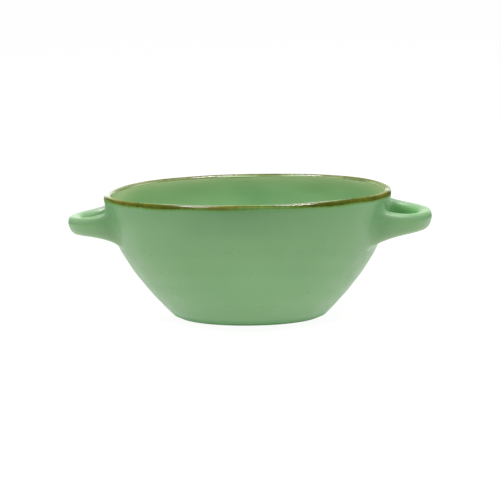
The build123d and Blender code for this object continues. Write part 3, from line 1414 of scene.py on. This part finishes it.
@dataclass(frozen=True)
class Studio:
    """A white light tent: a pale glowing floor, a white surround and two softboxes overhead."""

    floor_size: float = 14.0
    floor_white: float = 0.10
    floor_roughness: float = 0.9
    floor_glow: float = 0.93
    surround: float = 0.20
    backdrop: float = 1.4
    backdrop_edge: Span = (0.85, 0.97)
    softboxes: tuple[Softbox, ...] = (
        Softbox("left_softbox", (-0.48, -0.10, 0.87), 1.1, 0.16, 0.50, 8.7),
        Softbox("right_softbox", (0.36, -0.10, 0.91), 1.1, 0.16, 0.50, 11.0),
    )

    def build(self) -> None:
        """Lays the floor and puts up the lights."""
        half = self.floor_size / 2
        corners = [(-half, -half, 0), (half, -half, 0), (half, half, 0), (-half, half, 0)]
        mesh = bpy.data.meshes.new("studio_floor")
        mesh.from_pydata(corners, [], [(0, 1, 2, 3)])
        floor = bpy.data.objects.new("studio_floor", mesh)
        bpy.context.scene.collection.objects.link(floor)
        finish = Bench("pale_floor").dress({
            "Base Color": (self.floor_white,) * 3 + (1.0,),
            "Roughness": self.floor_roughness,
            "Emission Strength": self.floor_glow,
            "Emission Color": WHITE,
        })
        finish.cycles.emission_sampling = "NONE"
        mesh.materials.append(finish)
        self.tent()
        for softbox in self.softboxes:
            softbox.hang()
        bpy.context.scene.view_settings.view_transform = "Standard"

    def tent(self) -> None:
        """Puts up the surround, which is brightest on its back wall, behind the bowl."""
        world = bpy.data.worlds.new("white_tent")
        world.use_nodes = True
        tree = world.node_tree
        backing = tree.nodes["Background"]
        way = tree.nodes.new("ShaderNodeTexCoord")
        parts = tree.nodes.new("ShaderNodeSeparateXYZ")
        glow = tree.nodes.new("ShaderNodeMapRange")
        glow.interpolation_type = "SMOOTHSTEP"
        limits = (*self.backdrop_edge, self.surround, self.backdrop)
        for name, value in zip(("From Min", "From Max", "To Min", "To Max"), limits):
            glow.inputs[name].default_value = value
        tree.links.new(way.outputs["Generated"], parts.inputs["Vector"])
        tree.links.new(parts.outputs["Y"], glow.inputs["Value"])
        tree.links.new(glow.outputs["Result"], backing.inputs["Strength"])
        backing.inputs["Color"].default_value = WHITE
        bpy.context.scene.world = world


@dataclass(frozen=True)
class PhotoView:
    """The camera, at the photograph's viewing angle."""

    azimuth: float = 4.0
    elevation: float = 7.41
    roll: float = 0.6
    distance: float = 1.8
    focal_pixels: float = 3471.0
    image_pixels: float = 500.0
    sensor_mm: float = 36.0
    aim_right: float = 0.00037
    aim_height: float = 0.0342

    def place(self) -> None:
        """Puts the camera in its place and makes it the scene's."""
        azimuth, elevation, roll = radians(self.azimuth), radians(self.elevation), radians(self.roll)
        level_right = Vector((cos(azimuth), sin(azimuth), 0.0))
        back = Vector((sin(azimuth) * cos(elevation), -cos(azimuth) * cos(elevation), sin(elevation)))
        level_up = back.cross(level_right)
        right = cos(roll) * level_right - sin(roll) * level_up
        up = sin(roll) * level_right + cos(roll) * level_up
        aim = self.aim_right * level_right + Vector((0.0, 0.0, self.aim_height))
        lens = bpy.data.cameras.new("photo_view")
        lens.sensor_width = self.sensor_mm
        lens.lens = self.focal_pixels / self.image_pixels * self.sensor_mm
        camera = bpy.data.objects.new("photo_view", lens)
        turn = Matrix((right, up, back)).transposed().to_4x4()
        camera.matrix_world = Matrix.Translation(aim + back * self.distance) @ turn
        bpy.context.scene.collection.objects.link(camera)
        bpy.context.scene.camera = camera


def write_sizes() -> None:
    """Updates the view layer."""
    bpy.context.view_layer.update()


def main() -> None:
    """Builds the bowl piece by piece, then the studio and the camera."""
    logging.basicConfig(level=logging.INFO, format="%(name)s: %(message)s")
    form = BowlForm()
    line = RimLine(form)
    glaze = GreenGlaze().material()
    right_lug = Lug(form, Side.RIGHT, glaze)
    left_lug = Lug(
        form,
        Side.LEFT,
        glaze,
        reach=0.0189,
        drop=0.0155,
        tip_height=0.0095,
        twist=0.1,
        droop=3.5,
        tip_fill=0.22,
        lifts=(Waver(12.0, 24.0, -0.0004), Waver(50.0, 24.0, -0.0004)),
        inner_sheen=Waver(120.0, 24.0, 0.64),
        loop_shade=Waver(186.0, 30.0, 0.05),
    )
    lugs = [right_lug, left_lug]
    pieces = [lug.build() for lug in lugs]
    roots = np.concatenate([ring for lug in lugs for ring in lug.roots])
    pieces.append(Bowl(form, line, glaze, roots).build())
    pieces.append(RimBand(form, line, BrownCoat().material()).build())
    pieces.append(FootRing(BareClay().material()).build())
    for piece in pieces:
        LOG.info("%s: %d faces", piece.name, len(piece.data.polygons))
    Studio().build()
    PhotoView().place()
    write_sizes()


if __name__ == "__main__":
    main()
